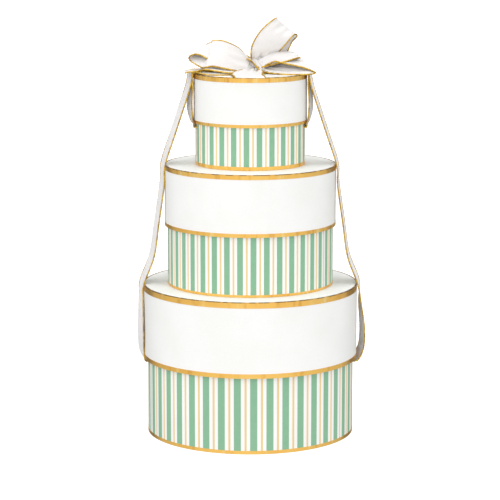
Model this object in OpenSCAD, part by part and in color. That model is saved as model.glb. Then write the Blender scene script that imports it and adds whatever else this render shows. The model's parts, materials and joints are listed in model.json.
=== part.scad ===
// Tower of three round, lidded hat boxes, tied together with a wide wired ribbon and a bow.
// The front is -Y, the right-hand side is +X, and the large box stands on z = 0.

/* [Large box] */
// Outside diameter of the large body
large_diameter = 268; // [240:1:300]
// Height of the large box with its lid on
large_height = 195; // [170:1:220]
// Depth of the large lid
large_lid_depth = 96.5; // [70:0.5:110]
// Thickness of the large box's board
large_board_t = 3; // [2:0.1:4]
// Air between the large body and its lid, all round
large_clearance = 1.2; // [0.6:0.1:2]
// Height of the gold trim round the large lid's top edge
large_top_trim_h = 7.3; // [4:0.1:10]
// Height of the gold trim round the large lid's lower edge
large_lower_trim_h = 5.7; // [3:0.1:8]
// Height of the gold trim round the large body's foot
large_foot_trim_h = 4.5; // [2.5:0.1:6]

/* [Medium box] */
// Outside diameter of the medium body
medium_diameter = 214; // [190:1:230]
// Height of the medium box with its lid on
medium_height = 155; // [130:1:170]
// Depth of the medium lid
medium_lid_depth = 78.5; // [60:0.5:90]
// Thickness of the medium box's board
medium_board_t = 2.2; // [1.5:0.1:3]
// Air between the medium body and its lid, all round
medium_clearance = 0.8; // [0.5:0.1:1.5]
// Height of the gold trim round the medium lid's top edge
medium_top_trim_h = 5.8; // [4:0.1:10]
// Height of the gold trim round the medium lid's lower edge
medium_lower_trim_h = 4.8; // [3:0.1:8]
// Height of the gold trim round the medium body's foot
medium_foot_trim_h = 3.1; // [2.5:0.1:6]

/* [Small box] */
// Outside diameter of the small body
small_diameter = 141; // [130:1:160]
// Height of the small box with its lid on
small_height = 117; // [100:1:130]
// Depth of the small lid
small_lid_depth = 63; // [45:0.5:70]
// Thickness of the small box's board
small_board_t = 1.4; // [1.2:0.1:2.5]
// Air between the small body and its lid, all round
small_clearance = 0.5; // [0.4:0.1:1.2]
// Height of the gold trim round the small lid's top edge
small_top_trim_h = 6.2; // [4:0.1:10]
// Height of the gold trim round the small lid's lower edge
small_lower_trim_h = 4; // [3:0.1:8]
// Height of the gold trim round the small body's foot
small_foot_trim_h = 4.6; // [2.5:0.1:6]

/* [Paper and foil] */
// Thickness of the covering and lining papers
paper_t = 0.2; // [0.15:0.05:0.3]
// Thickness of the gold foil trims
foil_t = 0.2; // [0.15:0.05:0.3]
// How far the covering paper is turned in over an open edge
turn_in = 14; // [8:1:20]

/* [Ribbon] */
// Width of the ribbon
ribbon_w = 38; // [30:1:40]
// Thickness of the ribbon
ribbon_t = 0.5; // [0.3:0.1:0.6]
// Length of the tab that holds each ribbon end inside its body
tab_length = 26; // [15:1:35]
// Distance of each ribbon slit below its lid's lower edge
slit_drop = 5; // [4:0.5:8]

/* [Bow] */
// Reach of the left loop from the middle of the knot
left_reach = 79; // [60:1:84]
// Reach of the upper loop from the middle of the knot
upper_reach = 58; // [50:1:64]
// Reach of the right loop from the middle of the knot
right_reach = 84; // [60:1:90]
// Reach of the back loop from the middle of the knot
back_reach = 58; // [45:1:65]

/* [Hidden] */
BOXES = ["large", "medium", "small"];
BOX_PARTS = [
    "body_wall", "base_board", "body_wrap", "foot_trim", "base_paper", "body_lining", "floor_paper",
    "lid_wall", "lid_board", "lid_wrap", "lid_top_paper", "lid_top_trim", "lid_lower_trim",
    "lid_lining", "lid_ceiling_paper"
];
RIBBON_PARTS = [
    "tie_ribbon_left", "tie_ribbon_right", "small_ribbon_left", "small_ribbon_right",
    "bow_knot", "bow_loop_left", "bow_loop_upper", "bow_loop_right", "bow_loop_back",
    "bow_loop_flat", "bow_tail_left", "bow_tail_front"
];

$fn = 180;
LARGE = 0;
MEDIUM = 1;
SMALL = 2;
FIRST_BOX = 0;
LAST_BOX = 2;

seat_gap = 0.2;      // air between pieces that only rest on each other
through = 1;         // how far a cut runs past the face that it opens
trim_lap = 1.6;      // how far the top trim folds onto the lid's top
paper_inset = 2.5;   // how far the base paper stops short of the wall's outside
slit_h = 2.4;        // height of a ribbon slit
slit_side_gap = 1;   // room at each end of a ribbon slit

diameter = [large_diameter, medium_diameter, small_diameter];
height = [large_height, medium_height, small_height];
lid_depth = [large_lid_depth, medium_lid_depth, small_lid_depth];
board_t = [large_board_t, medium_board_t, small_board_t];
clearance = [large_clearance, medium_clearance, small_clearance];
top_trim_h = [large_top_trim_h, medium_top_trim_h, small_top_trim_h];
lower_trim_h = [large_lower_trim_h, medium_lower_trim_h, small_lower_trim_h];
foot_trim_h = [large_foot_trim_h, medium_foot_trim_h, small_foot_trim_h];
has_ribbon = [true, false, true];

// Radii of one box, from the outside of its covering paper inwards
function wrap_r(i) = diameter[i] / 2;
function wall_r(i) = wrap_r(i) - paper_t;
function bore_r(i) = wall_r(i) - board_t[i];
function lining_r(i) = bore_r(i) - paper_t;

// Radii of its lid, from the lining outwards
function lid_lining_r(i) = wrap_r(i) + clearance[i];
function lid_bore_r(i) = lid_lining_r(i) + paper_t;
function lid_wall_r(i) = lid_bore_r(i) + board_t[i];
function lid_wrap_r(i) = lid_wall_r(i) + paper_t;
function lid_trim_r(i) = lid_wrap_r(i) + foil_t;

// Levels of one box, from its foot to the top of its lid
function foot_z(i) = i == FIRST_BOX ? 0 : lid_top_z(i - 1) + seat_gap;
function board_z(i) = foot_z(i) + paper_t;
function floor_z(i) = board_z(i) + board_t[i];
function lid_top_z(i) = foot_z(i) + height[i];
function lid_rim_z(i) = lid_top_z(i) - lid_depth[i];
function lid_board_z(i) = lid_top_z(i) - paper_t - board_t[i];
function ceiling_z(i) = lid_board_z(i) - paper_t;
function body_top_z(i) = ceiling_z(i) - seat_gap;
function slit_z(i) = lid_rim_z(i) - slit_drop;

green = [0.60, 0.76, 0.63];
white = [0.97, 0.97, 0.96];
cream = [0.93, 0.92, 0.88];
gold = [0.86, 0.70, 0.36];
board_grey = [0.62, 0.60, 0.56];
satin = [0.95, 0.95, 0.94];

// ---- Shapes that repeat ----

module ring(r_out, r_in, low, high) {
    translate([0, 0, low])
        difference() {
            cylinder(r = r_out, h = high - low);
            translate([0, 0, -through])
                cylinder(r = r_in, h = high - low + 2 * through);
        }
}

module disc(r, low, thickness) {
    translate([0, 0, low])
        cylinder(r = r, h = thickness);
}

// The slits on the left and right of a body that the ribbon ends pass through
module ribbon_slits(i) {
    if (has_ribbon[i])
        translate([0, 0, slit_z(i)])
            cube([diameter[i] + 2 * through, ribbon_w + 2 * slit_side_gap, slit_h], center = true);
}

// ---- One box's body ----

module body_wall(i) {
    color(board_grey)
        difference() {
            ring(wall_r(i), bore_r(i), board_z(i), body_top_z(i) - paper_t);
            ribbon_slits(i);
        }
}

module base_board(i) {
    color(board_grey)
        disc(bore_r(i), board_z(i), board_t[i]);
}

// Striped paper outside, folded over the wall's upper edge and turned in
module body_wrap(i) {
    color(green)
        difference() {
            union() {
                ring(wrap_r(i), wall_r(i), foot_z(i), body_top_z(i));
                ring(wall_r(i), bore_r(i), body_top_z(i) - paper_t, body_top_z(i));
                ring(bore_r(i), lining_r(i), body_top_z(i) - turn_in, body_top_z(i));
            }
            ribbon_slits(i);
        }
}

module foot_trim(i) {
    color(gold)
        ring(wrap_r(i) + foil_t, wrap_r(i), foot_z(i), foot_z(i) + foot_trim_h[i]);
}

module base_paper(i) {
    color(cream)
        disc(wrap_r(i) - paper_inset, foot_z(i), paper_t);
}

module body_lining(i) {
    color(white)
        difference() {
            ring(bore_r(i), lining_r(i), floor_z(i), body_top_z(i) - turn_in);
            ribbon_slits(i);
        }
}

module floor_paper(i) {
    color(white)
        disc(lining_r(i), floor_z(i), paper_t);
}

// ---- Its lid ----

module lid_wall(i) {
    color(board_grey)
        ring(lid_wall_r(i), lid_bore_r(i), lid_rim_z(i) + paper_t, lid_top_z(i) - paper_t);
}

module lid_board(i) {
    color(board_grey)
        disc(lid_bore_r(i), lid_board_z(i), board_t[i]);
}

// White paper outside, folded under the lid's lower edge and turned in
module lid_wrap(i) {
    color(white)
        union() {
            ring(lid_wrap_r(i), lid_wall_r(i), lid_rim_z(i), lid_top_z(i) - paper_t);
            ring(lid_wall_r(i), lid_bore_r(i), lid_rim_z(i), lid_rim_z(i) + paper_t);
            ring(lid_bore_r(i), lid_lining_r(i), lid_rim_z(i), lid_rim_z(i) + turn_in);
        }
}

module lid_top_paper(i) {
    color(white)
        disc(lid_wrap_r(i), lid_top_z(i) - paper_t, paper_t);
}

// Foil round the top edge, folded a little way onto the top
module lid_top_trim(i) {
    color(gold)
        union() {
            ring(lid_trim_r(i), lid_wrap_r(i), lid_top_z(i) - top_trim_h[i], lid_top_z(i) + foil_t);
            ring(lid_wrap_r(i), lid_wrap_r(i) - trim_lap, lid_top_z(i), lid_top_z(i) + foil_t);
        }
}

module lid_lower_trim(i) {
    color(gold)
        ring(lid_trim_r(i), lid_wrap_r(i), lid_rim_z(i), lid_rim_z(i) + lower_trim_h[i]);
}

module lid_lining(i) {
    color(white)
        ring(lid_bore_r(i), lid_lining_r(i), lid_rim_z(i) + turn_in, ceiling_z(i));
}

module lid_ceiling_paper(i) {
    color(white)
        disc(lid_bore_r(i), ceiling_z(i), paper_t);
}

module box_part(i, part) {
    if (part == "body_wall") body_wall(i);
    if (part == "base_board") base_board(i);
    if (part == "body_wrap") body_wrap(i);
    if (part == "foot_trim") foot_trim(i);
    if (part == "base_paper") base_paper(i);
    if (part == "body_lining") body_lining(i);
    if (part == "floor_paper") floor_paper(i);
    if (part == "lid_wall") lid_wall(i);
    if (part == "lid_board") lid_board(i);
    if (part == "lid_wrap") lid_wrap(i);
    if (part == "lid_top_paper") lid_top_paper(i);
    if (part == "lid_top_trim") lid_top_trim(i);
    if (part == "lid_lower_trim") lid_lower_trim(i);
    if (part == "lid_lining") lid_lining(i);
    if (part == "lid_ceiling_paper") lid_ceiling_paper(i);
}

// ---- Ribbon ----

// A strip's outline follows a path at half its thickness on either side
function path_side(path, k) =
    let (
        a = path[max(k - 1, 0)],
        b = path[min(k + 1, len(path) - 1)],
        along = (b - a) / norm(b - a)
    )
    [-along[1], along[0]];

function strip_outline(path) = concat(
    [for (k = [0 : len(path) - 1]) path[k] + path_side(path, k) * ribbon_t / 2],
    [for (k = [len(path) - 1 : -1 : 0]) path[k] - path_side(path, k) * ribbon_t / 2]
);

// A strip whose path is drawn in the XZ plane, as wide as the ribbon along Y
module strip(path, width = ribbon_w) {
    rotate([90, 0, 0])
        linear_extrude(width, center = true)
            polygon(strip_outline(path));
}

// A run of ribbon from its flat tab inside a body, out through the slit, and up to the bow.
// outward is the run's path outside the body, as [distance from the axis, height].
module ribbon_run(i, outward, right) {
    inside_r = sqrt(pow(lining_r(i), 2) - pow(ribbon_w / 2, 2)) - 1;
    tab = [
        [inside_r, slit_z(i) - tab_length],
        [inside_r, slit_z(i) - 1.5],
        [inside_r + 1.5, slit_z(i)]
    ];
    mirror([right ? 0 : 1, 0, 0])
        color(satin)
            strip(concat(tab, outward));
}

// Both runs of the tie ribbon share their upper part and differ in how they bulge lower down
tie_side = lid_trim_r(LARGE);
small_side = lid_trim_r(SMALL);
over_medium = [lid_trim_r(MEDIUM) + 0.8, lid_top_z(MEDIUM) + 0.7];
over_small = [small_side + 2.4, lid_top_z(SMALL) + 1.4];
to_knot = [
    [small_side - 3, lid_top_z(SMALL) + 2.6],
    [9, lid_top_z(SMALL) + 2.6]
];
tie_left_path = concat(
    [
        [tie_side - 1, slit_z(LARGE)],
        [tie_side + 4, slit_z(LARGE) + 4],
        [tie_side + 8, slit_z(LARGE) + 20],
        [tie_side + 9, slit_z(LARGE) + 42],
        [tie_side + 5, slit_z(LARGE) + 75],
        [tie_side + 1, lid_top_z(LARGE) + 0.5],
        [lid_trim_r(MEDIUM) + 2.5, lid_top_z(MEDIUM) - 36],
        over_medium,
        [small_side + 5, lid_top_z(SMALL) - 16],
        over_small
    ],
    to_knot
);
tie_right_path = concat(
    [
        [tie_side - 1, slit_z(LARGE)],
        [tie_side + 2, slit_z(LARGE) + 4],
        [tie_side + 7, slit_z(LARGE) + 20],
        [tie_side + 8, slit_z(LARGE) + 42],
        [tie_side + 6, slit_z(LARGE) + 75],
        [tie_side + 1, lid_top_z(LARGE) + 0.5],
        [lid_trim_r(MEDIUM) + 14, lid_top_z(MEDIUM) - 84],
        over_medium,
        [small_side + 7, lid_top_z(SMALL) - 16],
        over_small
    ],
    to_knot
);
small_ribbon_path = [
    [small_side - 1, slit_z(SMALL)],
    [small_side + 3, slit_z(SMALL) + 4],
    [small_side + 7, slit_z(SMALL) + 18],
    [small_side + 7, slit_z(SMALL) + 32],
    [small_side + 3, slit_z(SMALL) + 55],
    [small_side + 0.8, lid_top_z(SMALL) + 0.9],
    [small_side - 3, lid_top_z(SMALL) + 1.1],
    [9, lid_top_z(SMALL) + 1.1]
];

module tie_ribbon_left() {
    ribbon_run(LARGE, tie_left_path, false);
}

module tie_ribbon_right() {
    ribbon_run(LARGE, tie_right_path, true);
}

module small_ribbon_left() {
    ribbon_run(SMALL, small_ribbon_path, false);
}

module small_ribbon_right() {
    ribbon_run(SMALL, small_ribbon_path, true);
}

// ---- Bow ----

knot_x = 2;                      // the knot sits a little to the right of the axis
bow_y = -8;                      // and a little in front of it
bow_z = lid_top_z(SMALL) + 13.5; // height of the knot's middle
knot_r = 10;
knot_length = 18;
pad_start = 14;                  // a loop starts this far from the middle of the knot
pinch = 4;                       // half its width there
flat_z = lid_top_z(SMALL) + 3.3; // level of what lies flat on the lid, above the tie ribbon

// Outline of a loop or tail: narrow at the knot, full width towards its end
function pad_outline(reach, width) = [
    [pad_start, -pinch],
    [0.75 * reach, -width / 2],
    [reach, -0.4 * width],
    [reach, 0.4 * width],
    [0.75 * reach, width / 2],
    [pad_start, pinch]
];

// A loop's solid leaves the knot along +X, turned by spin about its length, then raised by lean
// and turned by swing about the vertical
module bow_loop(reach, width, thickness, swing, lean, spin) {
    color(satin)
        translate([knot_x, bow_y, bow_z])
            rotate([0, 0, swing])
                rotate([0, -lean, 0])
                    rotate([spin, 0, 0])
                        linear_extrude(thickness, center = true)
                            polygon(pad_outline(reach, width));
}

// A loop or tail that lies flat, at some height above the lid
module flat_piece(reach, width, thickness, swing, lift) {
    color(satin)
        translate([knot_x, bow_y, flat_z + lift])
            rotate([0, 0, swing])
                linear_extrude(thickness)
                    polygon(pad_outline(reach, width));
}

// A short barrel across the ribbon, with bulging sides
module bow_knot() {
    color(satin)
        translate([knot_x, bow_y, bow_z])
            rotate([0, 90, 0])
                rotate_extrude()
                    intersection() {
                        translate([-knot_r, 0])
                            circle(r = 2 * knot_r);
                        translate([0, -knot_length / 2])
                            square([knot_r, knot_length]);
                    }
}

module bow_loop_left() {
    bow_loop(reach = left_reach, width = 33, thickness = 14, swing = 182, lean = 10, spin = 75);
}

module bow_loop_upper() {
    bow_loop(reach = upper_reach, width = ribbon_w, thickness = 18, swing = 0, lean = 57, spin = 80);
}

module bow_loop_right() {
    bow_loop(reach = right_reach, width = ribbon_w, thickness = 8, swing = -14, lean = 0, spin = 15);
}

module bow_loop_back() {
    bow_loop(reach = back_reach, width = ribbon_w, thickness = 8, swing = 42, lean = 8, spin = 0);
}

module bow_loop_flat() {
    flat_piece(reach = 68, width = 34, thickness = 1.4, swing = 200, lift = 0);
}

module bow_tail_left() {
    flat_piece(reach = 84, width = 12, thickness = 0.6, swing = 190, lift = 1.7);
}

module bow_tail_front() {
    flat_piece(reach = 64, width = ribbon_w, thickness = 1.2, swing = -90, lift = 0);
}

// ---- Nodes ----

for (i = [FIRST_BOX : LAST_BOX])
    for (part = BOX_PARTS)
        box_part(i, part);

tie_ribbon_left();
tie_ribbon_right();
small_ribbon_left();
small_ribbon_right();
bow_knot();
bow_loop_left();
bow_loop_upper();
bow_loop_right();
bow_loop_back();
bow_loop_flat();
bow_tail_left();
bow_tail_front();
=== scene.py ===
"""Tower of three round hat boxes tied with a wired ribbon and a bow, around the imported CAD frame."""

import json
import math

import bpy
import numpy as np
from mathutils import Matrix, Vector

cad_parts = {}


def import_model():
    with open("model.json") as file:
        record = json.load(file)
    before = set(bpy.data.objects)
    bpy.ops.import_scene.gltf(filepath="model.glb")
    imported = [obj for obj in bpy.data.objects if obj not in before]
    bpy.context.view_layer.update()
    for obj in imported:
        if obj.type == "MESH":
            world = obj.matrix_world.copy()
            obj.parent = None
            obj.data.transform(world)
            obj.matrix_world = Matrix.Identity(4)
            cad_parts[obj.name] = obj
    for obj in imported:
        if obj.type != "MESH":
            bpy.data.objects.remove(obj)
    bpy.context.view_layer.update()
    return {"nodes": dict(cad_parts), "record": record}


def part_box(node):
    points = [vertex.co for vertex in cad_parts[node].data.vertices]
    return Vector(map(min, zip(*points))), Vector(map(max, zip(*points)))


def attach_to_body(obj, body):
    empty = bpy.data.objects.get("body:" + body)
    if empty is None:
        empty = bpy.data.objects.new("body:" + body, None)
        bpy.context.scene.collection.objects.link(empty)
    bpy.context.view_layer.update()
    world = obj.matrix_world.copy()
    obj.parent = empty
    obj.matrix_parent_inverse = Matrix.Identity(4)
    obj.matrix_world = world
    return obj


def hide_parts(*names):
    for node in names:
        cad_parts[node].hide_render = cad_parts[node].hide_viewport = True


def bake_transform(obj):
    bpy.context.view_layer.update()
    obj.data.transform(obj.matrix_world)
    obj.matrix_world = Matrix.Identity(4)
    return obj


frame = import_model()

MM = 0.001
BOXES = ("large", "medium", "small")


# ---- Measures read from the frame ----

def top_of(node):
    """Height of a CAD node's upper end."""
    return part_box(node)[1].z


def foot_of(node):
    """Height of a CAD node's lower end."""
    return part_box(node)[0].z


def radius_of(node):
    """Outer radius of a round CAD node that is centred on the axis."""
    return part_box(node)[1].x


lid_top = {box: top_of(f"{box}_lid_top_paper") for box in BOXES}
lid_rim = {box: foot_of(f"{box}_lid_wrap") for box in BOXES}
lid_r = {box: radius_of(f"{box}_lid_top_trim") for box in BOXES}
body_r = {box: radius_of(f"{box}_body_wrap") for box in BOXES}


# ---- Materials ----

def srgb(r, g, b):
    """A colour given as 8-bit screen values, in linear light."""
    def linear(c):
        c /= 255
        return c / 12.92 if c <= 0.04045 else ((c + 0.055) / 1.055) ** 2.4
    return (linear(r), linear(g), linear(b), 1.0)


class Tree:
    """A short way to build a node tree."""

    def __init__(self, tree):
        self.tree = tree

    def add(self, kind, inputs=(), **settings):
        node = self.tree.nodes.new("ShaderNode" + kind)
        for key, value in settings.items():
            setattr(node, key, value)
        for key, value in dict(inputs).items():
            self.feed(node.inputs[key], value)
        return node

    def feed(self, socket, value):
        if isinstance(value, bpy.types.NodeSocket):
            self.tree.links.new(value, socket)
        else:
            socket.default_value = value

    def maths(self, operation, a, b=0.0):
        return self.add("Math", {0: a, 1: b}, operation=operation).outputs[0]

    def remap(self, value, low, high, start=0.0, end=1.0):
        """start at the value low, end at the value high, and held at those beyond them."""
        inputs = {"Value": value, "From Min": low, "From Max": high, "To Min": start, "To Max": end}
        return self.add("MapRange", inputs).outputs["Result"]


class Nodes(Tree):
    """A material with a Principled shader."""

    def __init__(self, name, **settings):
        self.material = bpy.data.materials.new(name)
        self.material.use_nodes = True
        super().__init__(self.material.node_tree)
        self.shader = self.tree.nodes["Principled BSDF"]
        self.set(**settings)

    def set(self, **sockets):
        for name, value in sockets.items():
            self.feed(self.shader.inputs[name.replace("_", " ")], value)
        return self.material

    def place(self):
        return self.add("TexCoord").outputs["Object"]

    def scaled(self, vector, scale):
        return self.add("Mapping", {"Vector": vector, "Scale": scale}).outputs[0]

    def noise(self, scale, detail=3.0, vector=None, roughness=0.5):
        inputs = {"Scale": scale, "Detail": detail, "Roughness": roughness}
        inputs["Vector"] = vector or self.place()
        return self.add("TexNoise", inputs).outputs["Fac"]

    def ramp(self, factor, stops):
        """A colour or grey that changes evenly between stops, each given as (factor, colour or grey)."""
        ramp = self.add("ValToRGB", {"Fac": factor})
        elements = ramp.color_ramp.elements
        while len(elements) < len(stops):
            elements.new(1.0)
        for element, (position, colour) in zip(elements, stops):
            element.position = position
            element.color = colour if hasattr(colour, "__len__") else (colour, colour, colour, 1.0)
        return ramp.outputs["Color"]

    def mix(self, factor, a, b, blend_type="MIX"):
        node = self.add("Mix", data_type="RGBA", blend_type=blend_type)
        self.feed(node.inputs["Factor"], factor)
        self.feed(node.inputs[6], a)
        self.feed(node.inputs[7], b)
        return node.outputs[2]

    def bump(self, height, distance, strength=1.0, under=None):
        inputs = {"Height": height, "Distance": distance, "Strength": strength}
        if under is not None:
            inputs["Normal"] = under
        return self.add("Bump", inputs).outputs["Normal"]


def around(nodes):
    """The angle round the boxes' axis, in turns, from the front towards the right."""
    place = nodes.add("SeparateXYZ", {"Vector": nodes.place()})
    back = nodes.maths("MULTIPLY", place.outputs["Y"], -1.0)
    angle = nodes.maths("ARCTAN2", place.outputs["X"], back)
    return nodes.maths("MULTIPLY", angle, 1 / math.tau)


def paper_grain(nodes):
    """Fine fibre and a slow unevenness, as paper over board has."""
    fibre = nodes.bump(nodes.noise(1600, 4.0), 0.02 * MM)
    return nodes.bump(nodes.noise(26, 2.0), 0.1 * MM, under=fibre)


GREEN_SHARE = 0.43   # of one period of the stripes
WHITE_SHARE = 0.22
GOLD_SHARE = 0.13
SOFT_SHARE = 0.016   # half of the printed edge's blur


def striped_paper(name, periods, first_green):
    """Upright stripes: green, white, a thin gold line, white.
    first_green is the angle, in degrees, of the middle of one green stripe."""
    nodes = Nodes(name, Specular_IOR_Level=0.4)
    shift = GREEN_SHARE / 2 - first_green / 360 * periods
    turns = nodes.maths("MULTIPLY", around(nodes), periods)
    phase = nodes.maths("FRACT", nodes.maths("ADD", turns, shift + periods))
    in_green = nodes.ramp(phase, [
        (0.0, 1.0),
        (GREEN_SHARE - SOFT_SHARE, 1.0),
        (GREEN_SHARE + SOFT_SHARE, 0.0),
        (1.0 - SOFT_SHARE, 0.0),
        (1.0, 1.0),
    ])
    gold_from = GREEN_SHARE + WHITE_SHARE
    gold_to = gold_from + GOLD_SHARE
    in_gold = nodes.ramp(phase, [
        (gold_from - SOFT_SHARE, 0.0),
        (gold_from + SOFT_SHARE, 1.0),
        (gold_to - SOFT_SHARE, 1.0),
        (gold_to + SOFT_SHARE, 0.0),
    ])
    green = nodes.mix(nodes.noise(220, 3.0), srgb(133, 184, 148), srgb(143, 192, 157))
    colour = nodes.mix(in_green, srgb(250, 250, 248), green)
    colour = nodes.mix(in_gold, colour, srgb(238, 207, 143))
    worn = nodes.ramp(nodes.noise(14, 4.0), [(0.42, 0.97), (0.62, 1.0)])
    colour = nodes.mix(1.0, colour, worn, "MULTIPLY")
    rough = nodes.remap(in_gold, 0, 1, 0.42, 0.3)
    return nodes.set(Base_Color=colour, Roughness=rough, Normal=paper_grain(nodes))


def white_paper(name, colour, shade, roughness):
    """Plain paper of one colour, a little darker in patches."""
    nodes = Nodes(name, Specular_IOR_Level=0.4)
    mottle = nodes.ramp(nodes.noise(18, 4.0), [(0.4, shade), (0.6, colour)])
    fibre = nodes.ramp(nodes.noise(700, 5.0), [(0.35, 0.975), (0.6, 1.0)])
    tone = nodes.mix(1.0, mottle, fibre, "MULTIPLY")
    rough = nodes.remap(nodes.noise(90, 3.0), 0, 1, roughness - 0.06, roughness + 0.06)
    return nodes.set(Base_Color=tone, Roughness=rough, Normal=paper_grain(nodes))


def grey_board():
    """Raw board: speckled, with the faint layers that show on a cut edge."""
    nodes = Nodes("grey_board", Roughness=0.85)
    speck = nodes.ramp(nodes.noise(900, 6.0), [(0.35, srgb(150, 145, 134)), (0.65, srgb(184, 180, 170))])
    layers = nodes.noise(1.0, 3.0, nodes.scaled(nodes.place(), (60, 60, 3000)))
    colour = nodes.mix(nodes.maths("MULTIPLY", layers, 0.25), speck, srgb(128, 122, 112))
    return nodes.set(Base_Color=colour, Normal=nodes.bump(nodes.noise(1200, 4.0), 0.05 * MM))


def gold_foil(name, painted_fold_shade_above=None):
    """Foil paper, slightly crinkled, with lighter and darker streaks along the band: bumped, and with
    painted reflections in their colour.
    A lid's top band also has painted shade: a dark line with gaps above a given height, where the foil
    folds onto the top."""
    nodes = Nodes(name, Metallic=1.0)
    height = nodes.add("SeparateXYZ", {"Vector": nodes.place()}).outputs["Z"]
    band = nodes.add("CombineXYZ", {
        "X": nodes.maths("MULTIPLY", around(nodes), 60.0),
        "Y": nodes.maths("MULTIPLY", height, 12.0),
    }).outputs[0]
    tone = nodes.ramp(nodes.noise(24, 3.0), [
        (0.3, srgb(240, 181, 86)),
        (0.5, srgb(255, 204, 108)),
        (0.7, srgb(255, 214, 126)),
    ])
    # Streaks: a bump for the crinkles, and in the colour painted reflections, darker and lighter than the
    # foil.
    streaks = nodes.noise(1.0, 3.0, band, 0.6)
    streak_tone_and_reflections = nodes.ramp(streaks, [
        (0.3, srgb(206, 142, 62)),
        (0.44, srgb(255, 202, 106)),
        (0.58, srgb(255, 204, 108)),
        (0.7, srgb(255, 236, 172)),
    ])
    tone = nodes.mix(0.55, tone, streak_tone_and_reflections)
    # Painted shade along the fold at the top of a lid's band: a dark line with gaps, above the given
    # height.
    if painted_fold_shade_above is not None:
        above = nodes.remap(height, painted_fold_shade_above - 0.4 * MM, painted_fold_shade_above + 0.4 * MM)
        fold_shade_breaks = nodes.ramp(nodes.noise(1.3, 2.0, band), [(0.4, 0.25), (0.5, 0.9)])
        tone = nodes.mix(nodes.maths("MULTIPLY", above, fold_shade_breaks), tone, srgb(96, 64, 30))
    crinkle = nodes.noise(75, 4.0)
    normal = nodes.bump(streaks, 0.6 * MM, 0.5)
    normal = nodes.bump(crinkle, 0.5 * MM, 0.35, under=normal)
    normal = nodes.bump(nodes.noise(900, 3.0), 0.02 * MM, under=normal)
    rough = nodes.remap(crinkle, 0, 1, 0.2, 0.42)
    return nodes.set(Base_Color=tone, Roughness=rough, Normal=normal)


looks = {
    "grey_board": grey_board(),
    "gold_foil": gold_foil("gold_foil"),
    "lid_paper": white_paper("lid_paper", srgb(249, 249, 247), srgb(246, 246, 243), 0.4),
    "lining_paper": white_paper("lining_paper", srgb(242, 240, 235), srgb(236, 234, 228), 0.75),
    "base_paper": white_paper("base_paper", srgb(236, 231, 220), srgb(228, 223, 211), 0.8),
}
stripes = {
    "large": striped_paper("striped_paper_large", 41, 1.9),
    "medium": striped_paper("striped_paper_medium", 40, 2.2),
    "small": striped_paper("striped_paper_small", 27, -3.8),
}
slot_of = {part["node"]: part["material_slot"] for part in frame["record"]["subparts"]}


def look_of(node):
    """The material of a CAD node, or None for the ribbon, whose nodes are all replaced."""
    box = node.split("_")[0]
    if slot_of[node] == "striped_paper":
        return stripes[box]
    if node.endswith("lid_top_trim"):
        # A lid's top band gets painted shade along its fold, 0.6 mm below its top.
        return gold_foil(f"gold_foil_{box}_top", painted_fold_shade_above=lid_top[box] - 0.6 * MM)
    return looks.get(slot_of[node])


for node, obj in frame["nodes"].items():
    look = look_of(node)
    if look:
        obj.data.materials.clear()
        obj.data.materials.append(look)


# ---- Ribbon: one strip of wired satin, 38 mm wide ----

WIDTH = 38 * MM
THICK = 0.3 * MM
WIRE_R = 0.95 * MM         # radius of the pair of threads along each edge
WIRE_PITCH = 5.6 * MM      # length of one turn of their twist
WIRE_SIDES = 8
COLUMNS = 14               # mesh faces across the ribbon
STEPS = 8                  # mesh rows from one shaping row to the next
PLEATS = 3                 # pleats across the ribbon where it is gathered
NEAR_EDGE = (0, 1)         # an edge's column, and the next column in from it
FAR_EDGE = (COLUMNS, COLUMNS - 1)


def spline(rows):
    """Points on a Catmull-Rom curve that meets the next row every STEPS points."""
    rows = np.array(rows, float)
    before = 2 * rows[0] - rows[1]
    after = 2 * rows[-1] - rows[-2]
    padded = np.vstack([before, rows, after])
    t = np.linspace(0, 1, STEPS, endpoint=False)[:, None]
    out = []
    for a, b, c, d in zip(padded, padded[1:], padded[2:], padded[3:]):
        square = 2 * a - 5 * b + 4 * c - d
        cube = 3 * b - a - 3 * c + d
        out.append(0.5 * (2 * b + (c - a) * t + square * t**2 + cube * t**3))
    return np.vstack(out + [rows[-1:]])


def unit(vectors):
    return vectors / np.linalg.norm(vectors, axis=-1, keepdims=True)


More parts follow.
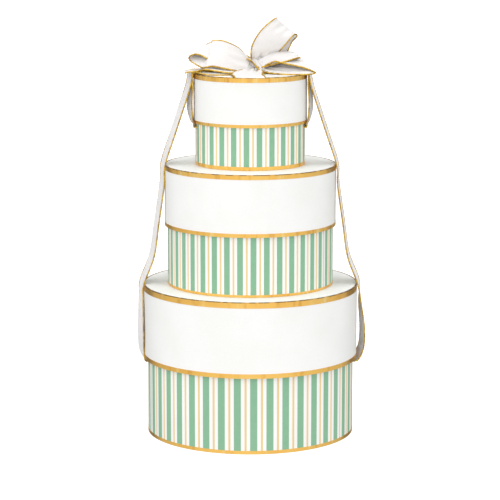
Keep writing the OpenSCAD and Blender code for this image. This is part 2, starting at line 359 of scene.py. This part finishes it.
class Strip:
    """A ribbon's surface, shaped by rows. Each row is one edge's point, the way across to the other edge,
    and how far the middle stands out. Where the way across is shorter than the ribbon is wide, the ribbon
    is gathered into pleats."""

    def __init__(self, rows, ripple, seed):
        table = spline([[*edge, *across, bulge] for edge, across, bulge in rows])
        edge, across, bulge = table[:, 0:3], table[:, 3:6], table[:, 6]
        middle = edge + across / 2
        steps = np.linalg.norm(np.diff(middle, axis=0), axis=1)
        self.length = np.concatenate([[0], np.cumsum(steps)])
        self.s = np.linspace(0, 1, COLUMNS + 1)
        rise = self.arch_and_pleats(np.linalg.norm(across, axis=1), bulge, seed)
        rise += self.waves(ripple, seed)
        along = unit(np.gradient(middle, axis=0))
        out = unit(np.cross(along, across))
        flat = edge[:, None] + across[:, None] * self.s[None, :, None]
        self.grid = flat + rise[..., None] * out[:, None]
        across_grid = np.gradient(self.grid, axis=1)
        along_grid = np.gradient(self.grid, axis=0)
        self.normals = unit(np.cross(along_grid, across_grid))

    def arch_and_pleats(self, width, bulge, seed):
        """How far each point stands out: the bulge, and pleats that take up what width is left over."""
        arched_width = width * (1 + 8 / 3 * (bulge / width) ** 2)
        spare = np.sqrt(np.clip(WIDTH / arched_width - 1, 0, None))
        pleat = 1.3 * width / (np.pi * PLEATS) * spare
        rise = bulge[:, None] * (4 * self.s * (1 - self.s))[None]
        folds = np.sin(math.tau * PLEATS * self.s + 0.6 * seed) * np.sin(np.pi * self.s) ** 0.3
        return rise + pleat[:, None] * folds[None]

    def waves(self, height, seed):
        """Slight waves over the surface that leave its edges in place."""
        length = self.length[:, None]
        s = self.s[None]
        slow = np.sin(length / (17 * MM) + 5 * s + seed)
        quick = 0.6 * np.sin(length / (7 * MM) - 7 * s + 2 * seed)
        return height * (slow + quick) * np.sin(np.pi * s)


def quads(rows, columns, offset, flip):
    """The faces of a grid of points whose first point has the index offset."""
    faces = []
    for i in range(rows - 1):
        for j in range(columns - 1):
            a = offset + i * columns + j
            face = (a, a + 1, a + columns + 1, a + columns)
            faces.append(face[::-1] if flip else face)
    return faces


def strip_mesh(name, strip, first, last):
    """A thin closed mesh of one stretch of a strip. Its UVs are lengths along and across the ribbon."""
    grid = strip.grid[first:last + 1]
    normals = strip.normals[first:last + 1]
    rows, columns = grid.shape[:2]
    top = grid + normals * THICK / 2
    under = grid - normals * THICK / 2
    count = rows * columns
    faces = quads(rows, columns, 0, True) + quads(rows, columns, count, False)
    rim = list(range(columns))
    rim += [i * columns + columns - 1 for i in range(1, rows)]
    rim += [count - 1 - j for j in range(1, columns)]
    rim += [i * columns for i in range(rows - 2, 0, -1)]
    for a, b in zip(rim, rim[1:] + rim[:1]):
        faces.append((a, b, count + b, count + a))
    mesh = bpy.data.meshes.new(name)
    mesh.from_pydata(np.vstack([top.reshape(-1, 3), under.reshape(-1, 3)]).tolist(), [], faces)
    u = np.repeat(strip.length[first:last + 1], columns)
    v = np.tile(np.linspace(0, WIDTH, columns), rows)
    uv = np.column_stack([np.tile(u, 2), np.tile(v, 2)])
    corners = np.array([loop.vertex_index for loop in mesh.loops])
    mesh.uv_layers.new(name="weave").data.foreach_set("uv", uv[corners].ravel())
    mesh.shade_smooth()
    both = np.vstack([normals.reshape(-1, 3), -normals.reshape(-1, 3)])
    mesh.normals_split_custom_set_from_vertices(both.tolist())
    return mesh


def wire_mesh(name, strip, first, last, edges):
    """The wired edges of one stretch of a strip, each a pair of gold threads twisted together."""
    vertices, faces = [], []
    for edge in edges:
        add_wire(vertices, faces, strip, first, last, *edge)
    mesh = bpy.data.meshes.new(name)
    mesh.from_pydata(vertices, [], faces)
    mesh.shade_smooth()
    return mesh


def add_wire(vertices, faces, strip, first, last, column, inner):
    """One wire, as a closed tube whose two-lobed section turns along a strip's edge column."""
    length = strip.length[first:last + 1]
    rings = max(3, round((length[-1] - length[0]) / (0.8 * MM)) + 1)
    at = np.linspace(length[0], length[-1], rings)

    def sample(values):
        return np.column_stack([np.interp(at, length, values[first:last + 1, k]) for k in range(3)])

    centre = sample(strip.grid[:, column])
    outward = unit(sample(strip.grid[:, column] - strip.grid[:, inner]))
    normal = unit(sample(strip.normals[:, column]))
    turn = np.linspace(0, math.tau, WIRE_SIDES, endpoint=False)
    lobes = 1 + 0.24 * np.cos(2 * (turn[None] - math.tau * at[:, None] / WIRE_PITCH))
    ring = outward[:, None] * np.cos(turn)[None, :, None] + normal[:, None] * np.sin(turn)[None, :, None]
    base = len(vertices)
    vertices += (centre[:, None] + WIRE_R * lobes[..., None] * ring).reshape(-1, 3).tolist()
    forward = Vector(centre[1] - centre[0])
    flip = forward.dot(Vector(outward[0]).cross(Vector(normal[0]))) < 0
    for i in range(rings - 1):
        for j in range(WIRE_SIDES):
            a = base + i * WIRE_SIDES + j
            b = base + i * WIRE_SIDES + (j + 1) % WIRE_SIDES
            face = (a, b, b + WIRE_SIDES, a + WIRE_SIDES)
            faces.append(face[::-1] if flip else face)
    start = tuple(range(base, base + WIRE_SIDES))
    end = tuple(range(base + (rings - 1) * WIRE_SIDES, base + rings * WIRE_SIDES))
    faces.append(start if flip else start[::-1])
    faces.append(end[::-1] if flip else end)


def satin():
    """White satin with a faint cross rib, finer threads along it, and a soft sheen."""
    nodes = Nodes("ribbon_satin", Roughness=0.45, Specular_IOR_Level=0.3)
    nodes.set(Sheen_Weight=0.7, Sheen_Roughness=0.4)
    nodes.set(Subsurface_Weight=0.2, Subsurface_Scale=1 * MM, Subsurface_Radius=(1, 0.95, 0.9))
    weave = nodes.add("UVMap", uv_map="weave").outputs["UV"]
    split = nodes.add("SeparateXYZ", {"Vector": weave}).outputs
    ribs = nodes.maths("SINE", nodes.maths("MULTIPLY", split["X"], math.tau / (0.55 * MM)))
    threads = nodes.maths("SINE", nodes.maths("MULTIPLY", split["Y"], math.tau / (0.4 * MM)))
    slub = nodes.noise(130, 4.0, nodes.scaled(weave, (1, 9, 1)))
    colour = nodes.ramp(slub, [(0.3, srgb(235, 231, 229)), (0.65, srgb(242, 240, 238))])
    shade = nodes.ramp(nodes.maths("MULTIPLY", ribs, threads), [(0.0, 0.985), (0.6, 1.0)])
    colour = nodes.mix(1.0, colour, shade, "MULTIPLY")
    normal = nodes.bump(slub, 0.12 * MM, 0.6)
    normal = nodes.bump(ribs, 0.02 * MM, 0.6, under=normal)
    normal = nodes.bump(threads, 0.012 * MM, 0.6, under=normal)
    return nodes.set(Base_Color=colour, Normal=normal)


def gold_thread():
    """Metallic thread, worn darker and duller in places."""
    nodes = Nodes("gold_thread", Metallic=0.85, Specular_IOR_Level=0.5)
    worn = nodes.noise(160, 4.0)
    colour = nodes.ramp(worn, [
        (0.3, srgb(158, 120, 36)),
        (0.5, srgb(210, 170, 62)),
        (0.7, srgb(238, 204, 104)),
    ])
    rough = nodes.remap(worn, 0, 1, 0.28, 0.5)
    twist = nodes.bump(nodes.noise(2600, 2.0), 0.05 * MM)
    return nodes.set(Base_Color=colour, Roughness=rough, Normal=twist)


ribbon_look = satin()
thread_look = gold_thread()


def add_piece(mesh, look):
    mesh.materials.append(look)
    piece = bpy.data.objects.new(mesh.name, mesh)
    bpy.context.collection.objects.link(piece)
    return piece


def attach(piece, bodies):
    """Lets a piece ride on one body. A piece between two bodies rides on neither: its place is only baked
    into its mesh.
    """
    if len(bodies) == 1:
        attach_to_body(piece, bodies[0])
    else:
        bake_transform(piece)


def add_ribbon(name, node, strip, first, last, bodies, edges=(NEAR_EDGE, FAR_EDGE)):
    """One stretch of ribbon, from one mesh row to another, and its wired edges."""
    ribbon = add_piece(strip_mesh(name, strip, first, last), ribbon_look)
    wires = add_piece(wire_mesh(f"{name}_wires", strip, first, last, edges), thread_look)
    for piece in (ribbon, wires):
        attach(piece, bodies)
        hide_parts(node)


# ---- The two lengths of ribbon that tie the tower, each with a left and a right leg ----

SLIT_DROP = 5 * MM      # from a lid's lower edge down to the slit in the body
TAB = 26 * MM           # length of the end that is held inside the body
ON_LID = 2.2 * MM       # the long ribbon's height above the small lid
UNDER = 0.9 * MM        # the short ribbon's, which lies beneath it


def leg_row(side, radius, height, tilt=0.0, bulge=0.0, sway=0.0):
    """A row of a leg at some distance from the axis. tilt, in degrees, turns the rear edge outwards,
    bulge is how far the middle stands out, and sway is how far it lies towards the back."""
    turn = math.radians(tilt)
    across = np.array([side * math.sin(turn), math.cos(turn), 0]) * WIDTH
    middle = np.array([side * radius, sway, height])
    return middle - across / 2, across, -side * bulge


def tab_rows(box, side):
    """The end of a ribbon: up the inside of a body, over to its slit, and out of it."""
    slit = lid_rim[box] - SLIT_DROP
    lining = radius_of(f"{box}_body_lining") - 0.2 * MM
    inside = math.sqrt(lining**2 - (WIDTH / 2) ** 2) - 1 * MM
    return [
        leg_row(side, inside - 0.6 * MM, slit - TAB),
        leg_row(side, inside, slit - 0.5 * TAB),
        leg_row(side, inside - 0.2 * MM, slit - 3 * MM),
        leg_row(side, inside + 1.2 * MM, slit),
        leg_row(side, body_r[box] + 1 * MM, slit),
    ]


def left_bow_out(slit):
    """The long ribbon's left leg beside the large lid, where it bows out and sways forward."""
    out = lid_r["large"]
    return [
        leg_row(-1, out + 1 * MM, slit + 3 * MM, 8, 1 * MM, -1 * MM),
        leg_row(-1, out + 2.8 * MM, slit + 14 * MM, 12, 3 * MM, -5 * MM),
        leg_row(-1, out + 3.4 * MM, slit + 34 * MM, 13, 3.4 * MM, -9 * MM),
        leg_row(-1, out + 3.2 * MM, slit + 62 * MM, 12, 3.2 * MM, -7 * MM),
        leg_row(-1, out + 2.8 * MM, slit + 84 * MM, 10, 2.5 * MM, -3 * MM),
    ]


def right_bow_out(slit):
    """The right leg there, which bows out more and stays straight."""
    out = lid_r["large"]
    return [
        leg_row(1, out + 0.8 * MM, slit + 3 * MM, -5),
        leg_row(1, out + 6.5 * MM, slit + 18 * MM, -6, 0.6 * MM),
        leg_row(1, out + 7.5 * MM, slit + 42 * MM, -6, 0.6 * MM),
        leg_row(1, out + 4.5 * MM, slit + 72 * MM, -3, 0.3 * MM),
    ]


def on_lid_rows(side, height, tilt=0.0):
    """The last rows of a leg: flat over the small lid to the knot."""
    return [
        leg_row(side, 66 * MM, height, tilt),
        leg_row(side, 36 * MM, height),
        leg_row(side, 8 * MM, height),
    ]


def tie_rows(side):
    """Groups of rows of the long ribbon from the large body to the knot. Each group ends a stretch."""
    left = side < 0
    slit = lid_rim["large"] - SLIT_DROP
    large, medium, small = (lid_top[box] for box in BOXES)
    tilt = 10 if left else 5
    curl = (3.2 if left else 0.6) * MM
    bow_out = left_bow_out if left else right_bow_out
    return [
        tab_rows("large", side),
        [
            *bow_out(slit),
            leg_row(side, lid_r["large"] + 2 * MM, large - 0.5 * MM, tilt, 0.3 * curl),
        ],
        [leg_row(side, 127.3 * MM, large + 36 * MM, tilt, curl)],
        [
            leg_row(side, 120.8 * MM, medium - 76 * MM, tilt, curl),
            leg_row(side, 113.6 * MM, medium - 26 * MM, tilt, 0.6 * curl),
            leg_row(side, lid_r["medium"] + 1.6 * MM, medium - 0.3 * MM, tilt, 0.3 * curl),
        ],
        [leg_row(side, 98.5 * MM, medium + 42 * MM, tilt, curl)],
        [
            leg_row(side, 81 * MM, small - 22 * MM, tilt, 0.6 * curl),
            leg_row(side, lid_r["small"] + 3.2 * MM, small - 1 * MM, tilt),
            leg_row(side, lid_r["small"] + 0.6 * MM, small + ON_LID, 0.6 * tilt),
        ],
        on_lid_rows(side, small + ON_LID, 2),
    ]


def small_rows(side):
    """Groups of rows of the short ribbon from the small body, over its lid, to the knot."""
    slit = lid_rim["small"] - SLIT_DROP
    out = lid_r["small"]
    tilt = 10 if side < 0 else 8
    return [
        tab_rows("small", side),
        [
            leg_row(side, out + 1.2 * MM, slit + 4 * MM, 0.6 * tilt),
            leg_row(side, out + 4 * MM, slit + 17 * MM, tilt, 2 * MM),
            leg_row(side, out + 4.6 * MM, slit + 32 * MM, tilt, 2.4 * MM),
            leg_row(side, out + 2.6 * MM, slit + 54 * MM, 0.7 * tilt, 1.2 * MM),
            leg_row(side, out + 0.6 * MM, lid_top["small"] + 0.6 * MM),
        ],
        on_lid_rows(side, lid_top["small"] + UNDER),
    ]


def lay_leg(node, groups, stretches, seed):
    """Lays a leg as one strip, cut into a stretch for each group of its rows."""
    strip = Strip([row for group in groups for row in group], ripple=0.25 * MM, seed=seed)
    first = 0
    rows_laid = 0
    for group, (label, bodies, rests_on) in zip(groups, stretches):
        rows_laid += len(group)
        last = (rows_laid - 1) * STEPS
        add_ribbon(f"{node}_{label}", node, strip, first, last, bodies)
        first = last


# A stretch's name, the body it rides on or the two it lies between, and the CAD node it rests on
TIE_STRETCHES = [
    ("tab", ["large_box"], ["large_body_wall"]),
    ("beside_large_lid", ["large_box", "large_lid"], ["large_lid_lower_trim"]),
    ("beside_medium_body", ["large_lid", "medium_box"], ["large_lid_top_trim"]),
    ("beside_medium_lid", ["medium_box", "medium_lid"], ["medium_lid_top_trim"]),
    ("beside_small_body", ["medium_lid", "small_box"], ["medium_lid_top_trim"]),
    ("beside_small_lid", ["small_box", "small_lid"], ["small_lid_top_trim"]),
    ("on_small_lid", ["small_lid"], ["small_lid_top_paper"]),
]
SMALL_STRETCHES = [
    ("tab", ["small_box"], ["small_body_wall"]),
    ("beside_small_lid", ["small_box", "small_lid"], ["small_lid_top_trim"]),
    ("on_small_lid", ["small_lid"], ["small_lid_top_paper"]),
]
for side, name in ((-1, "left"), (1, "right")):
    lay_leg(f"tie_ribbon_{name}", tie_rows(side), TIE_STRETCHES, 1.3 + side)
    lay_leg(f"small_ribbon_{name}", small_rows(side), SMALL_STRETCHES, 4.1 + side)


# ---- The bow: its loops and tails start at the knot ----

# Rows of (one edge's point, the way across to the other edge, bulge), in millimetres, with x and y from
# the boxes' axis and z above the small lid
BOW_SHAPES = {
    "bow_loop_left": [
        ((4, -10, 3), (4, 6, 12), 0),
        ((-4, -13, 3), (2, 27, 13), -7),
        ((-13, -15, 3), (-1, 23, 27), -2),
        ((-32, -20, 7), (-1, 19, 33), -1.5),
        ((-47, -22, 10), (1, 22, 31), -1),
        ((-56, -22, 8.8), (7, 22, 30), 0),
        ((-61, -16, 7.6), (14, 25, 25), 0),
        ((-71, -8, 12), (18, 27, 20), 0),
        ((-78, -2, 17.2), (21, 28, 14), 0),
        ((-76, -3, 22), (22, 28, 13), 0),
        ((-68, -6, 24), (22, 28, 13), 0),
        ((-60, -8, 21.6), (21, 28, 13), 0),
        ((-53, -9, 18), (19, 27, 15), 0),
        ((-30, -4, 9), (12, 24, 18), 0),
        ((-6, 0, 6), (6, 14, 12), 0),
    ],
    "bow_loop_upper": [
        ((2, 3, 9), (12, 6, 0), 0),
        ((1, -12, 26), (35, 12, 1), -2),
        ((3, -15, 37), (36, 10, -7), -2),
        ((10, -15, 50), (36, 8, -12), -1),
        ((20, -11, 61), (33, 8, -15), 0),
        ((31, -5, 69), (27, 16, -21), 0),
        ((33, 0, 68), (27, 17, -23), 0),
        ((24, 8, 56), (30, 14, -18), 0),
        ((16, 10, 42), (34, 13, -12), 1),
        ((10, 8, 26), (34, 14, -4), 1),
        ((4, 2, 8), (12, 6, 2), 0),
    ],
    "bow_loop_right": [
        ((12, -12, 6), (2, 14, 6), 0),
        ((22, -17, 12), (3, 32, 3), -3),
        ((31, -20, 16), (3, 37, -1), -5),
        ((38, -21, 14.8), (3, 38, 0), -2),
        ((50, -22, 12.3), (2, 38, 2), 4),
        ((66, -23, 9), (-3, 36, 8), 3),
        ((80, -26, 4), (-16, 31, 14), 0),
        ((82, -27, 1.5), (-18, 31, 13), 0),
        ((72, -34, 0.8), (-8, 35, 11), 0),
        ((50, -36, 0.8), (-2, 36, 10), 0),
        ((26, -25, 1.6), (0, 33, 9), 0),
        ((8, -12, 4), (0, 14, 6), 0),
    ],
    "bow_loop_back": [
        ((6, -14, 8), (0, 12, 8), 1),
        ((14, -16, 8.5), (-1, 26, 10), 6),
        ((24, -16, 10.5), (-1, 31, 9), 10),
        ((34, -16, 13), (-1, 32, 7), 10.5),
        ((46, -16, 16), (-2, 33, 5), 8),
        ((58, -15, 19.5), (-3, 35, 3), 4),
        ((62, -13, 20.5), (-4, 36, 2), 0),
        ((61, -6, 19), (-4, 37, 2), 0),
        ((46, -6, 17), (-2, 31, 4), 3),
        ((30, -5, 12.5), (-1, 28, 7), 3),
        ((16, -5, 8.5), (-1, 20, 8), 2),
        ((8, -6, 5), (-2, 12, 5), 0),
    ],
    "bow_loop_flat": [
        ((-2, -16, 3), (0, 14, 3), 0),
        ((-24, -33, 2.6), (2, 36, 4), 0.5),
        ((-40, -33, 4.6), (3, 37, 4), 0.5),
        ((-55, -31, 6.6), (6, 37, 1), 0),
        ((-66, -27, 4.6), (6, 37, 1), 0),
        ((-68, -28, 3), (6, 36, 1.6), 0),
        ((-60, -36, 1.6), (6, 36, 2), 0),
        ((-48, -42, 0.8), (4, 36, 2.6), 0),
        ((-27, -40, 0.8), (4, 34, 2.6), 0),
        ((-4, -20, 2), (2, 16, 1), 0),
    ],
    "bow_tail_left": [
        ((-2, -12, 3.4), (2, 14, 2), 0),
        ((-24, -15, 4.2), (0, 30, -1), 0),
        ((-48, -19, 3.8), (0, 36, -0.6), 0),
        ((-66, -23, 3.4), (0, 38, -0.4), 0),
        ((-75, -24, 3.3), (0, 37, -0.4), 0),
        ((-83, -25, 1.6), (-1, 37, -1), 0),
    ],
    "bow_tail_front": [
        ((-2, -10, 5), (12, 0, 0), 0),
        ((-14, -19, 4.6), (28, 2, 0), 0.5),
        ((-21, -32, 3.6), (37, 3, 0), 0.5),
        ((-23, -50, 2.4), (38, 1, 0), 0.4),
        ((-22, -62, 1.9), (38, -1, 0.2), 0),
        ((-20, -70, 1.7), (38, -1, 0), 0),
        ((-19, -75, 0.5), (38, -1, -0.4), 0),
    ],
}
KNOT_ROWS = [
    ((-5, 7, 5), (16, 8, 4), 0),
    ((-7, 6, 12), (18, 9, 5), 0),
    ((-5, 1, 17), (18, 8, 4), -0.6),
    ((-3, -6, 18), (18, 8, 3), -0.8),
    ((3, -13, 14.5), (16, 7, 3), -0.8),
    ((10, -19, 7), (9, 6, 2), -0.5),
    ((14, -20, 3), (6, 6, 1), 0),
]


def bow_piece(name, rows, seed, edges=(NEAR_EDGE, FAR_EDGE)):
    base = np.array([0, 0, lid_top["small"]])
    rows = [
        (base + np.array(edge) * MM, np.array(across) * MM, bulge * MM)
        for edge, across, bulge in rows
    ]
    ripple = 0.1 if "tail" in name else 0.3
    strip = Strip(rows, ripple * MM, seed)
    last = len(strip.grid) - 1
    add_ribbon(f"{name}_ribbon", name, strip, 0, last, ["small_lid"], edges)


for seed, (name, rows) in enumerate(BOW_SHAPES.items()):
    bow_piece(name, rows, 0.7 * seed)
bow_piece("bow_knot", KNOT_ROWS, 2.2, (NEAR_EDGE,))


# ---- Stage, light and camera ----

FLOOR_REACH = 40.0     # half the floor's width
FLOOR_DROP = 0.5 * MM  # how far it lies below the object
FLOOR_GLOW = 0.92
FRONT_LIGHT = 0.97     # the studio's brightness in front, behind, and added overhead
BACK_LIGHT = 0.5
TOP_LIGHT = 1.1
GAP_AT = 142           # degrees from the front to the middle of the darker gap on each side
GAP_HALF = 7           # half its width, before it fades out
GAP_FADE = 9
GAP_LIGHT = 0.2
KEY_PLACE = (-1.1, -1.7, 1.5)
KEY_TARGET = (0, 0, 0.3)
CAMERA_PLACE = (-0.0003, -2.7395, 0.7244)
CAMERA_TILT = 10.09    # degrees below level
CAMERA_LENS = 154.4    # millimetres


def floor():
    """A white sweep that only the camera sees, so that it throws no light on the object."""
    r = FLOOR_REACH
    mesh = bpy.data.meshes.new("floor")
    mesh.from_pydata([(-r, -r, 0), (r, -r, 0), (r, r, 0), (-r, r, 0)], [], [(0, 1, 2, 3)])
    obj = bpy.data.objects.new("floor", mesh)
    bpy.context.collection.objects.link(obj)
    nodes = Nodes("floor", Roughness=0.9, Base_Color=(0.4, 0.4, 0.4, 1))
    mesh.materials.append(nodes.set(Emission_Color=(1, 1, 1, 1), Emission_Strength=FLOOR_GLOW))
    obj.location.z = -FLOOR_DROP
    obj.visible_diffuse = False
    obj.visible_glossy = False
    obj.visible_shadow = False


def world():
    """A white studio, brighter in front and above, with darker gaps behind on both sides."""
    sky = bpy.data.worlds.new("studio")
    sky.use_nodes = True
    bpy.context.scene.world = sky
    nodes = Tree(sky.node_tree)
    direction = nodes.add("SeparateXYZ", {"Vector": nodes.add("TexCoord").outputs["Generated"]})
    x, y, z = (direction.outputs[axis] for axis in "XYZ")
    front = nodes.remap(y, -1.0, 1.0, FRONT_LIGHT, BACK_LIGHT)
    above = nodes.remap(z, 0.35, 1.0, 0.0, TOP_LIGHT)
    azimuth = nodes.maths("ARCTAN2", nodes.maths("ABSOLUTE", x), nodes.maths("MULTIPLY", y, -1.0))
    off_gap = nodes.maths("ABSOLUTE", nodes.maths("SUBTRACT", azimuth, math.radians(GAP_AT)))
    beside = nodes.remap(off_gap, math.radians(GAP_HALF), math.radians(GAP_HALF + GAP_FADE), GAP_LIGHT)
    high_or_low = nodes.remap(nodes.maths("ABSOLUTE", z), 0.4, 0.6)
    shade = nodes.maths("MAXIMUM", beside, high_or_low)
    background = sky.node_tree.nodes["Background"]
    nodes.feed(background.inputs["Color"], (1, 1, 1, 1))
    strength = nodes.maths("MULTIPLY", nodes.maths("ADD", front, above), shade)
    nodes.feed(background.inputs["Strength"], strength)


def key_light():
    """A soft lamp at the upper left."""
    lamp = bpy.data.lights.new("key", "AREA")
    lamp.shape = "RECTANGLE"
    lamp.size = 0.8
    lamp.size_y = 0.8
    lamp.energy = 4
    obj = bpy.data.objects.new("key", lamp)
    bpy.context.collection.objects.link(obj)
    obj.location = KEY_PLACE
    towards = Vector(KEY_TARGET) - Vector(KEY_PLACE)
    obj.rotation_euler = towards.to_track_quat("-Z", "Y").to_euler()


def camera():
    data = bpy.data.cameras.new("camera")
    data.lens = CAMERA_LENS
    data.sensor_width = 36.0
    obj = bpy.data.objects.new("camera", data)
    bpy.context.collection.objects.link(obj)
    obj.location = CAMERA_PLACE
    obj.rotation_euler = (math.radians(90 - CAMERA_TILT), 0, 0)
    bpy.context.scene.camera = obj


floor()
world()
key_light()
camera()
bpy.context.scene.view_settings.view_transform = "Standard"
